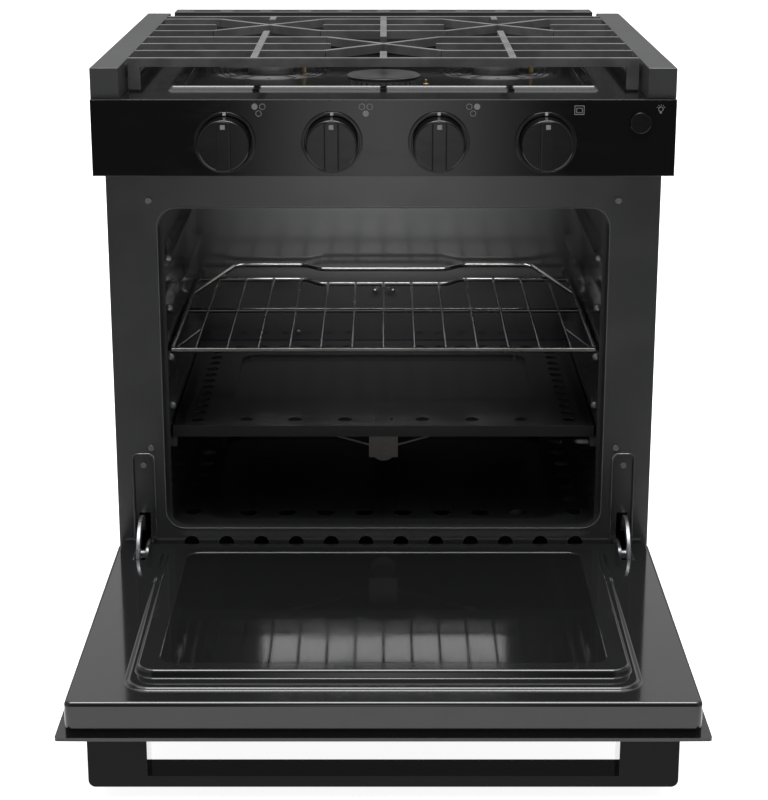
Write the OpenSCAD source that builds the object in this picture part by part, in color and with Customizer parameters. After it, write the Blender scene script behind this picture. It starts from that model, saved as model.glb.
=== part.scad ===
// Slide-in gas range: three-burner cooktop over an oven whose drop-down door stands open.
// Millimetres. The origin is the middle of the footprint, on the floor; +Z is up and -Y is the front.
// At rest the door lies open, the rack is home and the grate is down.

/* [Body] */
// Width over the control panel and the door glass
overall_w = 533; // [527:1:545]
// Depth from the front frame to the back panel
body_d = 450; // [446:1:470]
// Height of the body up to the underside of the cooktop
body_h = 529; // [529:1:535]

/* [Oven] */
// Width of the oven opening
opening_w = 426; // [424:1:428]
// Height of the lower edge of the opening
opening_low = 104; // [104:1:106]
// Height of the upper edge of the opening
opening_high = 426; // [422:1:426]
// Corner radius of the opening
opening_r = 23; // [15:1:26]
// Distance from the front frame to the back wall of the oven
oven_d = 350; // [348:1:352]
// Height of the rack ledge that the rack rests on
rack_z = 279.3; // [276:0.1:282]
// Distance between one rack ledge and the next
ledge_step = 48.7; // [46:0.1:50]
// Height of the heat spreader's top
spreader_z = 203; // [200:1:206]

/* [Door] */
// Height of the hinge axis
hinge_z = 83; // [83:1:84]
// Distance of the hinge axis in front of the frame
hinge_out = 12; // [12:0.5:12.5]
// Length of the door glass from its bottom edge to its top edge
door_l = 375; // [372:1:378]
// Reach of the handle below the glass
handle_reach = 50; // [40:1:50]

/* [Cooktop] */
// Depth of the burner well below the deck
well_deep = 18.5; // [16:0.5:18.5]
// Height of the side trims above the deck
trim_h = 28.5; // [24:0.5:30]
// Width of a grate bar
bar_w = 6.5; // [5:0.5:8]
// Distance between the grate's cross bars
bar_step = 56.5; // [56:0.1:56.5]

/* [Controls] */
// Distance between neighbouring knobs
knob_step = 97.5; // [90:0.5:98]
// Radius of a knob
knob_r = 24; // [20:0.5:24.4]
// Travel of a knob when it is pushed in
knob_travel = 3; // [2:0.5:3]

/* [Hidden] */

$fn = 48;
eps = 0.01;

// colours
black_enamel = [0.10, 0.10, 0.11];
grey_enamel = [0.25, 0.25, 0.26];
gloss_black = [0.03, 0.03, 0.035];
zinc = [0.62, 0.63, 0.65];
chrome_wire = [0.72, 0.73, 0.75];
cast_iron = [0.17, 0.17, 0.18];
brass = [0.75, 0.58, 0.28];
wool = [0.80, 0.76, 0.60];

// body
sheet = 1.2;
face_y = -body_d / 2;
half = overall_w / 2;
body_half = half - 7;
inner_half = body_half - 1.5;
pan_h = 18;
pan_t = 1.5;
foot_hole = [200, 165];
foot_hole_r = 3;
valve_cut = [245, 59, 9];
vent_r = 7.3;
vent_step = 34.3;
vent_z = 90;
gas_z = 40;
gas_x = 180;
gas_sleeve_r = 7.9;

// oven
open_half = opening_w / 2;
rim = 12 + sheet;
liner_half = open_half - 4;
liner_top = opening_high + 7;
floor_z = opening_low - 1.8;
ledges = [spreader_z - 11, for (k = [-1:2]) rack_z + k * ledge_step];
burner_z = 165;
burner_r = 13;
wool_t = 18;

// hinge pads of the frame
pad_x = 233.5;
pad_half = 10.5;
pad_top = 171.5;
pad_foot = 62;
pad_deep = 2.5;
slot_x = [228.7, 239.5];
slot_z = [70, 121];

// door, all measured at rest, when it lies open
glass_z = 62;
glass_t = 3;
liner_z = 92;
door_back = -4;
door_front = door_back - door_l;
liner_front = door_front + 9;
pane_z = [96.3, 100.3];
pin_r = 4;
pin_fit = 0.1;
arm_r = [28, 38];
arm_x = [234.5, 238];
ear_x = [229.5, 232.5];
post_x = [194, 243];
post_y = [door_front + 18, door_front + 48];

// cooktop
deck_z = body_h;
deck_t = 1.5;
top_z = deck_z + deck_t;
well_z = top_z - well_deep;
well_half = 203;
well_y = [64, 405];
front_burner = [0, 140];
rear_burner = [121, 309.5];
grate_z = top_z + 30.9;
bar_h = 8;
grate_half = 238;
bar_y0 = 27;
cross = 57;
grate_back = 393;

// controls
panel_y = -33;
panel_t = 2.5;
panel_z = [body_h - 68, body_h + 2];
knob_z = body_h - 36.7;
knob_x = [for (k = [0:3]) 1.8 + (k - 1.5) * knob_step];
stem_r = 4;
stem_fit = 0.1;
plunger_r = 6.5;
plunger_fit = 0.05;
button = [234, body_h - 19];
button_r = 9.5;

// ---------- helpers ----------

// Moves a shape drawn from the front frame's face to its place in the part.
module from_face() translate([0, face_y, 0]) children();

// Draws a shape and its mirror image on the other side of the middle plane.
module both_sides() {
    children();
    mirror([1, 0, 0]) children();
}

// A box between two corners.
module box(x, y, z) translate([x[0], y[0], z[0]]) cube([x[1] - x[0], y[1] - y[0], z[1] - z[0]]);

// A flat rectangle between two corners.
module flat(a, b) translate([a[0], b[0]]) square([a[1] - a[0], b[1] - b[0]]);

// A flat rectangle with round corners.
module round_flat(a, b, r) {
    flat([a[0] + r, a[1] - r], b);
    flat(a, [b[0] + r, b[1] - r]);
    for (x = [a[0] + r, a[1] - r], y = [b[0] + r, b[1] - r]) translate([x, y]) circle(r);
}

// Thickens an outline drawn in X and Z into a wall between two depths.
module wall(y0, y1) translate([0, y1, 0]) rotate([90, 0, 0]) linear_extrude(y1 - y0) children();

// Thickens an outline drawn in X and Y into a sheet between two heights.
module slab(z0, z1) translate([0, 0, z0]) linear_extrude(z1 - z0) children();

// Thickens an outline drawn in Y and Z into a plate between two places across.
module side(x0, x1) translate([x0, 0, 0]) rotate([90, 0, 90]) linear_extrude(x1 - x0) children();

// A round rod along X, Y or Z.
module rod_x(x, y, z, r) translate([x[0], y, z]) rotate([0, 90, 0]) cylinder(r = r, h = x[1] - x[0]);
module rod_y(x, y, z, r) translate([x, y[1], z]) rotate([90, 0, 0]) cylinder(r = r, h = y[1] - y[0]);
module rod_z(x, y, z, r) translate([x, y, z[0]]) cylinder(r = r, h = z[1] - z[0]);

// A thin rod from one point to another, as an eight-sided bar.
module wire(a, b, r) {
    v = b - a;
    l = norm(v);
    translate(a) rotate([0, acos(v[2] / l), atan2(v[1], v[0])]) cylinder(r = r, h = l, $fn = 8);
}

// A bent rod through a list of points, with a small block at each bend.
module bent_wire(points, r) {
    for (i = [0 : len(points) - 2]) wire(points[i], points[i + 1], r);
    for (i = [1 : len(points) - 2]) translate(points[i]) cube(1.3 * r, center = true);
}

// A tray pressed into a sheet: `rise` is how far its floor stands over the sheet, or under it if negative.
module pressed(a, b, r, z, rise, t) {
    low = min(z, z + rise);
    high = max(z, z + rise);
    slab(low - t, high) difference() {
        round_flat(a, b, r);
        round_flat([a[0] + t, a[1] - t], [b[0] + t, b[1] - t], max(r - t, 1));
    }
    slab(z + rise - t, z + rise) round_flat(a, b, r);
}

// ---------- body ----------

module base_pan() {
    color(zinc) from_face() difference() {
        box([-inner_half, inner_half], [2.5, body_d - 2.5], [0, pan_h]);
        box([-inner_half + pan_t, inner_half - pan_t], [2.5 + pan_t, body_d - 2.5 - pan_t],
            [pan_t, pan_h + 1]);
        for (sx = [-1, 1], sy = [-1, 1])
            rod_z(sx * foot_hole[0], body_d / 2 + sy * foot_hole[1], [-1, pan_t + 1], foot_hole_r);
    }
}

module side_panel() {
    color(black_enamel) from_face() {
        box([body_half - sheet, body_half], [sheet, body_d], [1, body_h]);
        box([body_half - 12, body_half], [sheet, 2 * sheet], [1, body_h]);
        box([body_half - 14, body_half], [body_d - 2 * sheet, body_d - sheet], [1, body_h]);
    }
}
module side_panel_right() side_panel();
module side_panel_left() mirror([1, 0, 0]) side_panel();

module back_panel() {
    color(zinc) from_face() wall(body_d - sheet, body_d) difference() {
        flat([-inner_half, inner_half], [1, body_h]);
        translate([gas_x, gas_z]) circle(16);
        for (x = [-150 : 50 : 150], z = [460 : 14 : 502])
            round_flat([x - 18, x + 18], [z - 2.5, z + 2.5], 2.4);
    }
}

module opening(grow = 0) {
    round_flat([-open_half - grow, open_half + grow], [opening_low - grow, opening_high + grow],
               opening_r + grow);
}

module pad_outline(grow = 0) {
    flat([pad_x - pad_half - grow, pad_x + pad_half + grow], [pad_foot - grow, pad_top]);
    translate([pad_x, pad_top]) circle(pad_half + grow);
}

// Screws of the frame: distance from the middle, height and depth of the face they sit on.
frame_screw = [[220, 432, 0], [225.2, 188.5, 0], [233.6, 170, pad_deep]];
frame_screw_r = 3;
frame_shank_r = 1.6;

module front_frame() {
    color(grey_enamel) from_face() difference() {
        union() {
            wall(0, sheet) difference() {
                flat([-body_half, body_half], [1, body_h]);
                opening();
                flat([-valve_cut[0], valve_cut[0]], [body_h - valve_cut[1], body_h - valve_cut[2]]);
                for (k = [-5.5 : 5.5]) translate([k * vent_step, vent_z]) circle(vent_r);
                both_sides() pad_outline();
            }
            wall(0, rim) difference() {
                opening(sheet);
                opening();
            }
            both_sides() wall(0, pad_deep + sheet) difference() {
                pad_outline(sheet);
                pad_outline();
            }
            both_sides() wall(pad_deep, pad_deep + sheet) pad_outline();
        }
        both_sides() box(slot_x, [-1, 5], slot_z);
        both_sides() for (s = frame_screw) rod_y(s[0], [-1, 5], s[1], frame_shank_r);
    }
}

module frame_screws() {
    color(zinc) from_face() both_sides() for (s = frame_screw) {
        rod_y(s[0], [s[2] - 1.4, s[2]], s[1], frame_screw_r);
        rod_y(s[0], [s[2] - eps, s[2] + 7], s[1], frame_shank_r);
    }
}

module kick_panel() {
    z = [5, 56];
    color(black_enamel) from_face() difference() {
        box([-body_half, body_half], [-28, 0], z);
        box([-body_half + sheet, body_half - sheet], [-28 + sheet, 1], [z[0] + sheet, z[1] - sheet]);
        for (k = [-4 : 4]) wall(-29, -26) round_flat([k * 52 - 20, k * 52 + 20], [28, 33], 2.4);
    }
}

// ---------- oven ----------

module oven_side() {
    color(black_enamel) from_face() {
        box([liner_half - 1, liner_half], [rim + 1, oven_d], [floor_z - 1.8, liner_top - 1]);
        box([liner_half - 1, liner_half + 13], [rim, rim + 1], [opening_low, opening_high]);
        box([liner_half - 10, liner_half - 1 + eps], [15, oven_d], [floor_z - sheet - 1, floor_z - sheet]);
        for (z = ledges) box([liner_half - 7, liner_half - 1 + eps], [16, 330], [z - 7, z]);
    }
}
module oven_side_right() oven_side();
module oven_side_left() mirror([1, 0, 0]) oven_side();

module oven_top() {
    color(black_enamel) from_face() {
        box([-liner_half, liner_half], [rim, oven_d], [liner_top - 1, liner_top]);
        box([-liner_half - 13, liner_half + 13], [rim, rim + 1], [opening_high, opening_high + 16]);
    }
}

module oven_back() {
    color(black_enamel) from_face() difference() {
        union() {
            box([-liner_half, liner_half], [oven_d, oven_d + 1], [floor_z - 1.8, liner_top]);
            for (p = [[-7, 262], [5, 262], [-97, 213]]) rod_y(p[0], [oven_d - 3, oven_d + eps], p[1], 2.6);
        }
        rod_y(0, [oven_d - 5, oven_d + 5], burner_z, burner_r + 1);
    }
}

module oven_floor() {
    x = liner_half - 2;
    y = [rim + 1, oven_d - 1];
    tray = [[-176, 176], [35, 330]];
    tray_deep = 5;
    color(black_enamel) from_face() {
        difference() {
            slab(floor_z - sheet, floor_z) difference() {
                flat([-x, x], y);
                round_flat(tray[0], tray[1], 24);
            }
            both_sides() for (k = [0 : 7]) rod_z(193, 58 + 38.5 * k, [floor_z - 3, floor_z + 1], 9);
        }
        difference() {
            pressed(tray[0], tray[1], 24, floor_z, -tray_deep, sheet);
            both_sides() for (d = [19.6, 59, 98, 137]) rod_z(d, 69, [floor_z - 8, floor_z + 1], 9);
        }
        box([-liner_half - 13, liner_half + 13], [rim, rim + 1], [opening_low - 11, opening_low - 0.1]);
    }
}

module heat_spreader() {
    x = liner_half - 2.5;
    y = [25, oven_d - 2];
    inner = [60, 290];
    color(black_enamel) from_face() {
        difference() {
            slab(spreader_z - sheet, spreader_z) difference() {
                flat([-x, x], y);
                round_flat([-156, 156], inner, 18);
            }
            both_sides() {
                for (d = [38.5, 87.5, 136.5]) rod_z(d, 47, [spreader_z - 3, spreader_z + 1], 7);
                rod_z(8, 47, [spreader_z - 3, spreader_z + 1], 2);
                for (k = [0 : 11]) rod_z(184, 46 + 23 * k, [spreader_z - 3, spreader_z + 1], 6.5);
                for (k = [0 : 5]) rod_z(40 + 24 * k, 320, [spreader_z - 3, spreader_z + 1], 6.5);
            }
        }
        pressed([-156, 156], inner, 18, spreader_z, -4, sheet);
        box([-x, x], [y[0], y[0] + sheet], [spreader_z - 11, spreader_z]);
        both_sides() box([x - sheet, x], y, [spreader_z - 11, spreader_z]);
    }
}

module flame_shield() {
    under = spreader_z - sheet;
    color(grey_enamel) from_face() {
        box([-14.3, 14.3], [42, 43.2], [burner_z, under]);
        box([-8, 8], [43.2 - eps, 70], [burner_z - 1, burner_z + 1]);
        both_sides() bent_wire([[12, 44, 177], [60, 44, 191], [100, 44, under - 1.2]], 1.1);
    }
}

module oven_burner() {
    color(zinc) from_face() difference() {
        union() {
            rod_y(0, [70, 330], burner_z, burner_r);
            rod_y(0, [330 - eps, 400], burner_z, burner_r - 3);
        }
        rod_y(0, [60, 69], burner_z, burner_r + 1);
        rod_y(0, [330, 401], burner_z, burner_r - 5);
        both_sides() for (k = [0 : 19])
            translate([0, 85 + 12 * k, burner_z]) rotate([0, 60, 0])
                cylinder(r = 1.6, h = burner_r + 2, $fn = 12);
    }
}

module oven_pilot() {
    color(zinc) from_face() difference() {
        union() {
            box([5, 54], [260, 262], [156, 168]);
            for (x = [36, 43.5, 51]) rod_z(x, 257.2, [154, 186], 3);
        }
        rod_y(0, [200, 300], burner_z, burner_r);
    }
}

module thermostat_bulb() {
    color(zinc) from_face() {
        rod_x([-60, 60], oven_d - 12, 405, 4);
        for (x = [-45, 45]) box([x - 2, x + 2], [oven_d - 10, oven_d], [401, 409]);
    }
}

module insulation_wrap() {
    w = liner_half + 0.4;
    outer = w + wool_t - 0.4;
    y = [rim + 1.4, oven_d];
    top = liner_top + 0.6;
    color(wool) from_face() difference() {
        union() {
            both_sides() box([w, outer], y, [100, top + wool_t]);
            box([-outer, outer], y, [top, top + wool_t]);
            box([-outer, outer], [oven_d + 1.4, oven_d + 1.4 + wool_t], [100, top + wool_t]);
            both_sides() box([w, outer], [oven_d - eps, oven_d + 2], [100, top + wool_t]);
            box([-outer, outer], [oven_d - eps, oven_d + 2], [top, top + wool_t]);
        }
        rod_y(0, [oven_d - 5, oven_d + 30], burner_z, burner_r + 1);
    }
}

module oven_rack() {
    r = 2.5;
    z = rack_z + r;
    x = 204.3;
    lift = 12;
    back = 335;
    jog = 21;
    color(chrome_wire) from_face() {
        both_sides() wire([x, 20, z], [x, back, z], r);
        for (y = [20, 175]) wire([-x, y, z], [x, y, z], r);
        bent_wire([[-x, 315, z], [-85, 315, z], [-70, 315 - jog, z], [70, 315 - jog, z],
                   [85, 315, z], [x, 315, z]], r);
        bent_wire([[-x, 250, z], [-164, back, z + lift], [-88, back, z + lift],
                   [-68, back - jog, z + lift], [68, back - jog, z + lift],
                   [88, back, z + lift], [164, back, z + lift], [x, 250, z]], r);
        for (k = [-6 : 6])
            wire([k * 30.3, 20, z + 1.2], [k * 30.3, abs(k) < 3 ? 315 - jog : 315, z + 1.2], 1.5);
        both_sides() wire([x - 4, 24, z + 0.4], [181.8, 98, z + 0.4], 1.2);
    }
}

// ---------- cooktop ----------

module cooktop() {
    color(gloss_black) from_face() {
        slab(deck_z, top_z) difference() {
            flat([-half + 0.5, half - 0.5], [-26.5, body_d]);
            round_flat([-well_half, well_half], well_y, 24);
        }
        difference() {
            union() {
                pressed([-well_half, well_half], well_y, 24, top_z, -well_deep, deck_t);
                for (p = [front_burner, rear_burner, [-rear_burner[0], rear_burner[1]]])
                    for (r = [46, 53, 60])
                        translate([p[0], p[1], well_z - eps]) rotate_extrude()
                            translate([r, 0]) square([1.6, 1.2]);
            }
            for (p = [front_burner, rear_burner, [-rear_burner[0], rear_burner[1]]])
                rod_z(p[0], p[1], [well_z - 5, well_z + 5], 14);
        }
        for (y = [30, 52]) slab(top_z - eps, top_z + 2.4)
            round_flat([-well_half, well_half], [y - 4, y + 4], 3.9);
    }
}

module side_trim() {
    z = [top_z, top_z + trim_h];
    x = [half - 26, half];
    color(black_enamel) from_face() difference() {
        box(x, [-28, body_d], z);
        box([x[0] + sheet, x[1] - sheet], [-28 + sheet, body_d - sheet], [z[0] - 1, z[1] - sheet]);
    }
}
module side_trim_right() side_trim();
module side_trim_left() mirror([1, 0, 0]) side_trim();

module vent_riser() {
    z = [top_z, top_z + 32.9];
    x = [-233, 233];
    y = [415, body_d - 1];
    color(black_enamel) from_face() difference() {
        box(x, y, z);
        box([x[0] + sheet, x[1] - sheet], [y[0] + sheet, y[1] - sheet], [z[0] - 1, z[1] - sheet]);
        for (k = [-4.5 : 4.5])
            slab(z[1] - 3, z[1] + 1) round_flat([k * 44 - 16, k * 44 + 16], [y[0] + 12, y[0] + 22], 4.9);
    }
}

// A hollow burner head with ports around its rim.
module burner_head(at, r, ports) {
    h = 16;
    translate([at[0], at[1], well_z]) difference() {
        union() {
            cylinder(r = r - 4, h = 5);
            translate([0, 0, 5 - eps]) cylinder(r = r, h = h - 5);
            translate([0, 0, -14]) cylinder(r = 12, h = 15);
        }
        translate([0, 0, -15]) cylinder(r = 9, h = 20);
        translate([0, 0, 6]) cylinder(r = r - 5, h = h);
        for (k = [0 : ports - 1]) rotate([0, 0, 360 * k / ports])
            translate([r - 7, -0.9, h - 5]) cube([9, 1.8, 3]);
    }
}

// A shallow cap that covers a burner head.
module burner_cap(at, r) {
    translate([at[0], at[1], well_z + 16]) {
        cylinder(r = r, h = 2.6);
        translate([0, 0, 2.6 - eps]) cylinder(r1 = r, r2 = r - 2, h = 1.2);
    }
}

module burner_head_front() color(zinc) from_face() burner_head(front_burner, 32, 30);
module burner_heads_rear() color(zinc) from_face() both_sides() burner_head(rear_burner, 28, 26);
module burner_cap_front() color(grey_enamel) from_face() burner_cap(front_burner, 36.5);
module burner_caps_rear() color(grey_enamel) from_face() both_sides() burner_cap(rear_burner, 31);

module igniter(at) {
    rod_z(at[0], at[1], [well_z, well_z + 11], 2.8);
    rod_z(at[0], at[1], [well_z + 11 - eps, well_z + 15], 1.2);
}
module igniters() {
    color(brass) from_face() {
        igniter(front_burner + [42, -6]);
        for (s = [-1, 1]) igniter([s * rear_burner[0] + 36, rear_burner[1] - 8]);
    }
}

// One straight bar of the grate, its top at the grate's height.
module grate_bar(a, b) {
    v = b - a;
    translate([a[0], a[1], grate_z - bar_h]) rotate([0, 0, atan2(v[1], v[0])])
        translate([0, -bar_w / 2, 0]) cube([norm(v), bar_w, bar_h]);
}

// Four diagonal fingers that meet over a burner.
module grate_cross(at) for (s = [-1, 1]) grate_bar(at + [-cross, -s * cross], at + [cross, s * cross]);

module cooking_grate() {
    g = grate_half;
    y = [for (k = [0 : 6]) bar_y0 + k * bar_step];
    foot = bar_w / 2;
    color(cast_iron) from_face() {
        for (d = [y[0], grate_back]) grate_bar([-g, d], [g, d]);
        both_sides() {
            for (d = [y[1], y[3]]) grate_bar([cross - 1, d], [g, d]);
            grate_bar([cross - 5, y[2]], [g, y[2]]);
            for (d = [y[4], y[6]]) {
                grate_bar([-1, d], [rear_burner[0] - cross + 1, d]);
                grate_bar([rear_burner[0] + cross - 1, d], [g, d]);
            }
            grate_bar([-1, y[5]], [rear_burner[0] - cross, y[5]]);
            grate_bar([rear_burner[0] + cross, y[5]], [g, y[5]]);
            grate_cross(rear_burner);
            grate_bar([rear_burner[0], y[0]], [rear_burner[0], y[4] - 1]);
            grate_bar([rear_burner[0], y[6] - 6], [rear_burner[0], grate_back]);
            box([g - 5, g], [y[0], grate_back], [grate_z - 20, grate_z - bar_h + eps]);
            for (d = [y[0], grate_back])
                box([g - 11, g], [d - foot, d + foot], [top_z + 1.8, grate_z - bar_h + eps]);
        }
        grate_cross(front_burner);
        grate_bar([0, y[0]], [0, y[1] - 6]);
        grate_bar([0, y[3] + 1.5], [0, grate_back]);
    }
}

module grate_feet() {
    g = grate_half;
    color(gloss_black) from_face() both_sides() for (d = [bar_y0, grate_back])
        box([g - 10.5, g - 0.5], [d - 2.8, d + 2.8], [top_z, top_z + 1.8]);
}

// ---------- gas ----------

module gas_manifold() {
    color(zinc) from_face() difference() {
        rod_x([-190, 190], 25, body_h - 59, 8);
        rod_x([-186, 191], 25, body_h - 59, 5.5);
    }
}

module gas_valves() {
    color(brass) from_face() for (x = knob_x) difference() {
        union() {
            box([x - 11, x + 11], [2, 42], [body_h - 51, knob_z + 13.5]);
            rod_y(x, [42 - eps, 50], knob_z, 5);
        }
        rod_y(x, [1, 7 + knob_travel], knob_z, plunger_r + plunger_fit);
        rod_y(x, [1, 16 + knob_travel], knob_z, stem_r + stem_fit);
    }
}

module pressure_regulator() {
    color(zinc) from_face() {
        box([gas_x - 14, gas_x + 14], [392, 412], [pan_t, gas_z - 20]);
        rod_z(gas_x, 402, [gas_z - 20 - eps, gas_z + 12], 17);
        rod_z(gas_x, 402, [gas_z + 12 - eps, gas_z + 19], 9);
        rod_y(gas_x, [402, body_d], gas_z, 11);
        rod_y(gas_x, [body_d - eps, body_d + 14], gas_z, gas_sleeve_r);
    }
}

// A gas tube through a list of points, as straight twelve-sided lengths with a block at each bend.
module tube(points, r) {
    for (i = [0 : len(points) - 2]) {
        v = points[i + 1] - points[i];
        translate(points[i]) rotate([0, acos(v[2] / norm(v)), atan2(v[1], v[0])])
            cylinder(r = r, h = norm(v), $fn = 12);
    }
    for (i = [1 : len(points) - 2]) translate(points[i]) cube(1.4 * r, center = true);
}

module supply_tubes() {
    rail = body_h - 59;
    low = well_z - 16;
    riser_x = 247;
    color(zinc) from_face() {
        tube([[knob_x[0], 50, knob_z], [knob_x[0], rear_burner[1], knob_z],
              [-rear_burner[0] - 5, rear_burner[1], knob_z]], 4);
        tube([[knob_x[1], 50, knob_z], [knob_x[1], front_burner[1], knob_z],
              [-5, front_burner[1], knob_z]], 4);
        tube([[knob_x[2], 50, knob_z], [knob_x[2], rear_burner[1], knob_z],
              [rear_burner[0] - 5, rear_burner[1], knob_z]], 4);
        for (p = [front_burner, rear_burner, [-rear_burner[0], rear_burner[1]]])
            rod_z(p[0], p[1], [low - 9, low + 1.9], 8);
        tube([[knob_x[3], 50, knob_z], [knob_x[3], 410, knob_z], [knob_x[3], 410, burner_z],
              [0, 410, burner_z], [0, 401, burner_z]], 4);
        tube([[gas_x + 17, 402, gas_z], [riser_x, 402, gas_z], [riser_x, 402, rail],
              [riser_x, 25, rail], [190, 25, rail]], 5);
    }
}

// ---------- controls ----------

module control_panel() {
    y1 = panel_y + panel_t;
    color(gloss_black) from_face() difference() {
        union() {
            box([-half, half], [panel_y, y1], panel_z);
            box([-half, half], [y1 - eps, 0], [panel_z[0], panel_z[0] + panel_t]);
            both_sides() box([half - panel_t, half], [y1 - eps, 0], [panel_z[0], deck_z]);
        }
        for (x = knob_x) rod_y(x, [panel_y - 1, y1 + 1], knob_z, 8);
        rod_y(button[0], [panel_y - 1, y1 + 1], button[1], button_r + 0.25);
    }
}

module knob_bezels() {
    color(gloss_black) from_face() for (x = knob_x) difference() {
        rod_y(x, [panel_y - 3.5, panel_y], knob_z, knob_r + 4);
        rod_y(x, [panel_y - 5, panel_y + 1], knob_z, knob_r + 0.8);
    }
}

// A knob: a round skirt with a grip bar across it, on its hub.
module knob(k) {
    x = knob_x[k];
    skin = [panel_y - 20 - knob_travel, panel_y - 1 - knob_travel];
    grip = 13.7 / 2;
    color(gloss_black) from_face() difference() {
        union() {
            rod_y(x, skin, knob_z, knob_r);
            intersection() {
                rod_y(x, [skin[0] - 4, skin[0] + 1], knob_z, knob_r);
                box([x - grip, x + grip], [skin[0] - 4, skin[0] + 1], [knob_z - 30, knob_z + 30]);
            }
        }
        rod_y(x, [skin[1] - 13, skin[1] + 1], knob_z, stem_r);
    }
}
module knob_1() knob(0);
module knob_2() knob(1);
module knob_3() knob(2);
module knob_4() knob(3);

// The shaft that a knob sits on.
module valve_stem(k) color(brass) from_face()
    rod_y(knob_x[k], [panel_y - 14 - knob_travel, 14], knob_z, stem_r);
module valve_stem_1() valve_stem(0);
module valve_stem_2() valve_stem(1);
module valve_stem_3() valve_stem(2);
module valve_stem_4() valve_stem(3);

// The sleeve that the shaft turns in and that slides in the valve as the knob is pushed.
module valve_plunger(k) color(zinc) from_face() difference() {
    rod_y(knob_x[k], [-2, 6.5], knob_z, plunger_r);
    rod_y(knob_x[k], [-3, 7.5], knob_z, stem_r + plunger_fit);
}
module valve_plunger_1() valve_plunger(0);
module valve_plunger_2() valve_plunger(1);
module valve_plunger_3() valve_plunger(2);
module valve_plunger_4() valve_plunger(3);

module light_button() {
    color(gloss_black) from_face() {
        rod_y(button[0], [panel_y - 3, panel_y + panel_t + 0.4], button[1], button_r);
        rod_y(button[0], [panel_y + panel_t + 0.2, panel_y + panel_t + 2], button[1], button_r + 2);
    }
}

// ---------- door hinge ----------

module hinge_brackets() {
    r = 8;
    color(zinc) from_face() both_sides() difference() {
        union() {
            side(ear_x[0], ear_x[1]) {
                translate([-hinge_out, hinge_z]) circle(r);
                flat([-hinge_out, 50], [hinge_z - r, hinge_z + r]);
            }
            box([218, ear_x[0] + eps], [pad_deep + sheet, pad_deep + sheet + 2], [hinge_z - r, hinge_z + r]);
        }
        rod_x([ear_x[0] - 1, ear_x[1] + 1], -hinge_out, hinge_z, pin_r);
    }
}

module hinge_pins() {
    color(chrome_wire) from_face() both_sides() rod_x([225.2, 242.8], -hinge_out, hinge_z, pin_r);
}

// ---------- door ----------

module door_glass() {
    color(gloss_black) from_face() difference() {
        slab(glass_z, glass_z + glass_t) round_flat([-half, half], [door_front, door_back], 3);
        both_sides() for (y = handle_screw_y) rod_z(handle_screw_x, y, [glass_z - 1, glass_z + 5], 2.5);
    }
}
handle_screw_x = (post_x[0] + post_x[1]) / 2;
handle_screw_y = [post_y[0] + 8, post_y[1] - 8];

module door_liner() {
    t = sheet;
    base = glass_z + glass_t;
    y = [liner_front, door_back - 1];
    step_1 = [[-open_half, open_half], [door_front + 32, -18]];
    step_2 = [[-open_half + 6.5, open_half - 6.5], [door_front + 51, -42]];
    window = [[-187, 187], [door_front + 68, -55]];
    color(grey_enamel) from_face() difference() {
        union() {
            slab(base, liner_z) difference() {
                round_flat([-body_half, body_half], y, 6);
                round_flat([-body_half + t, body_half - t], [y[0] + t, y[1] - t], 6 - t);
            }
            slab(liner_z - t, liner_z) difference() {
                round_flat([-body_half, body_half], y, 6);
                round_flat(step_1[0], step_1[1], 20);
            }
            pressed(step_1[0], step_1[1], 20, liner_z, 2.5, t);
            pressed(step_2[0], step_2[1], 17, liner_z + 2.5, 7, t);
        }
        slab(liner_z - 5, liner_z + 20) round_flat(window[0], window[1], 12);
        slab(liner_z - 5, liner_z + 2.5) round_flat(
            [step_2[0][0] + t, step_2[0][1] - t], [step_2[1][0] + t, step_2[1][1] - t], 16);
        both_sides() box([228, 241], [-52, door_back + 1], [base - 1, liner_z + 1]);
    }
}

module door_window() {
    color([0.12, 0.12, 0.13, 0.5]) from_face()
        slab(pane_z[0], pane_z[1]) round_flat([-193, 193], [door_front + 60, -50], 8);
}

module door_insulation() {
    outer = [[-222, 222], [door_front + 14, -14]];
    inner = [[-194, 194], [door_front + 62, -49]];
    color(wool) from_face() slab(glass_z + 7.2, liner_z - 3) difference() {
        flat(outer[0], outer[1]);
        flat(inner[0], inner[1]);
    }
}

// Two cheek plates and a web on each side that carry the hinge pins and take the arms.
module door_channels() {
    web = glass_z + glass_t + 1.5;
    y = [-120, door_back - 3];
    cheek = [[226, 227.5], [240.5, 242]];
    color(zinc) from_face() both_sides() difference() {
        union() {
            for (x = cheek) box(x, y, [web - 1.5, liner_z - sheet - 0.2]);
            box([cheek[0][0], cheek[1][1]], y, [web - 1.5, web]);
        }
        rod_x([cheek[0][0] - 1, cheek[1][1] + 1], -hinge_out, hinge_z, pin_r + pin_fit);
        box([ear_x[0] - 1, arm_x[1] + 1], [-30, y[1] + 1], [web - 3, web + 1]);
    }
}

// A flat arm bent round the hinge axis, which slides through the frame's slot as the door turns.
module hinge_arms() {
    span = [35, 200];
    c = [-hinge_out, hinge_z];
    fan = [for (a = [span[0] : 16.5 : span[1]]) c + 60 * [cos(a), sin(a)]];
    color(chrome_wire) from_face() both_sides() side(arm_x[0], arm_x[1]) {
        intersection() {
            translate(c) difference() {
                circle(arm_r[1]);
                circle(arm_r[0]);
            }
            polygon(concat([c], fan));
        }
        flat([c[0] - 48, c[0] - 26], [glass_z + glass_t + 1.5, hinge_z - 3]);
    }
}

// Spring clips inside the door that press the window against the liner.
module window_clips() {
    low = liner_z - 2.8;
    color(zinc) from_face() both_sides() for (y = [door_front + 80, -110]) {
        box([185, 198], [y, y + 20], [low, low + 1.5]);
        box([189, 191], [y, y + 20], [low + 1.5 - eps, pane_z[0]]);
    }
}

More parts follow.
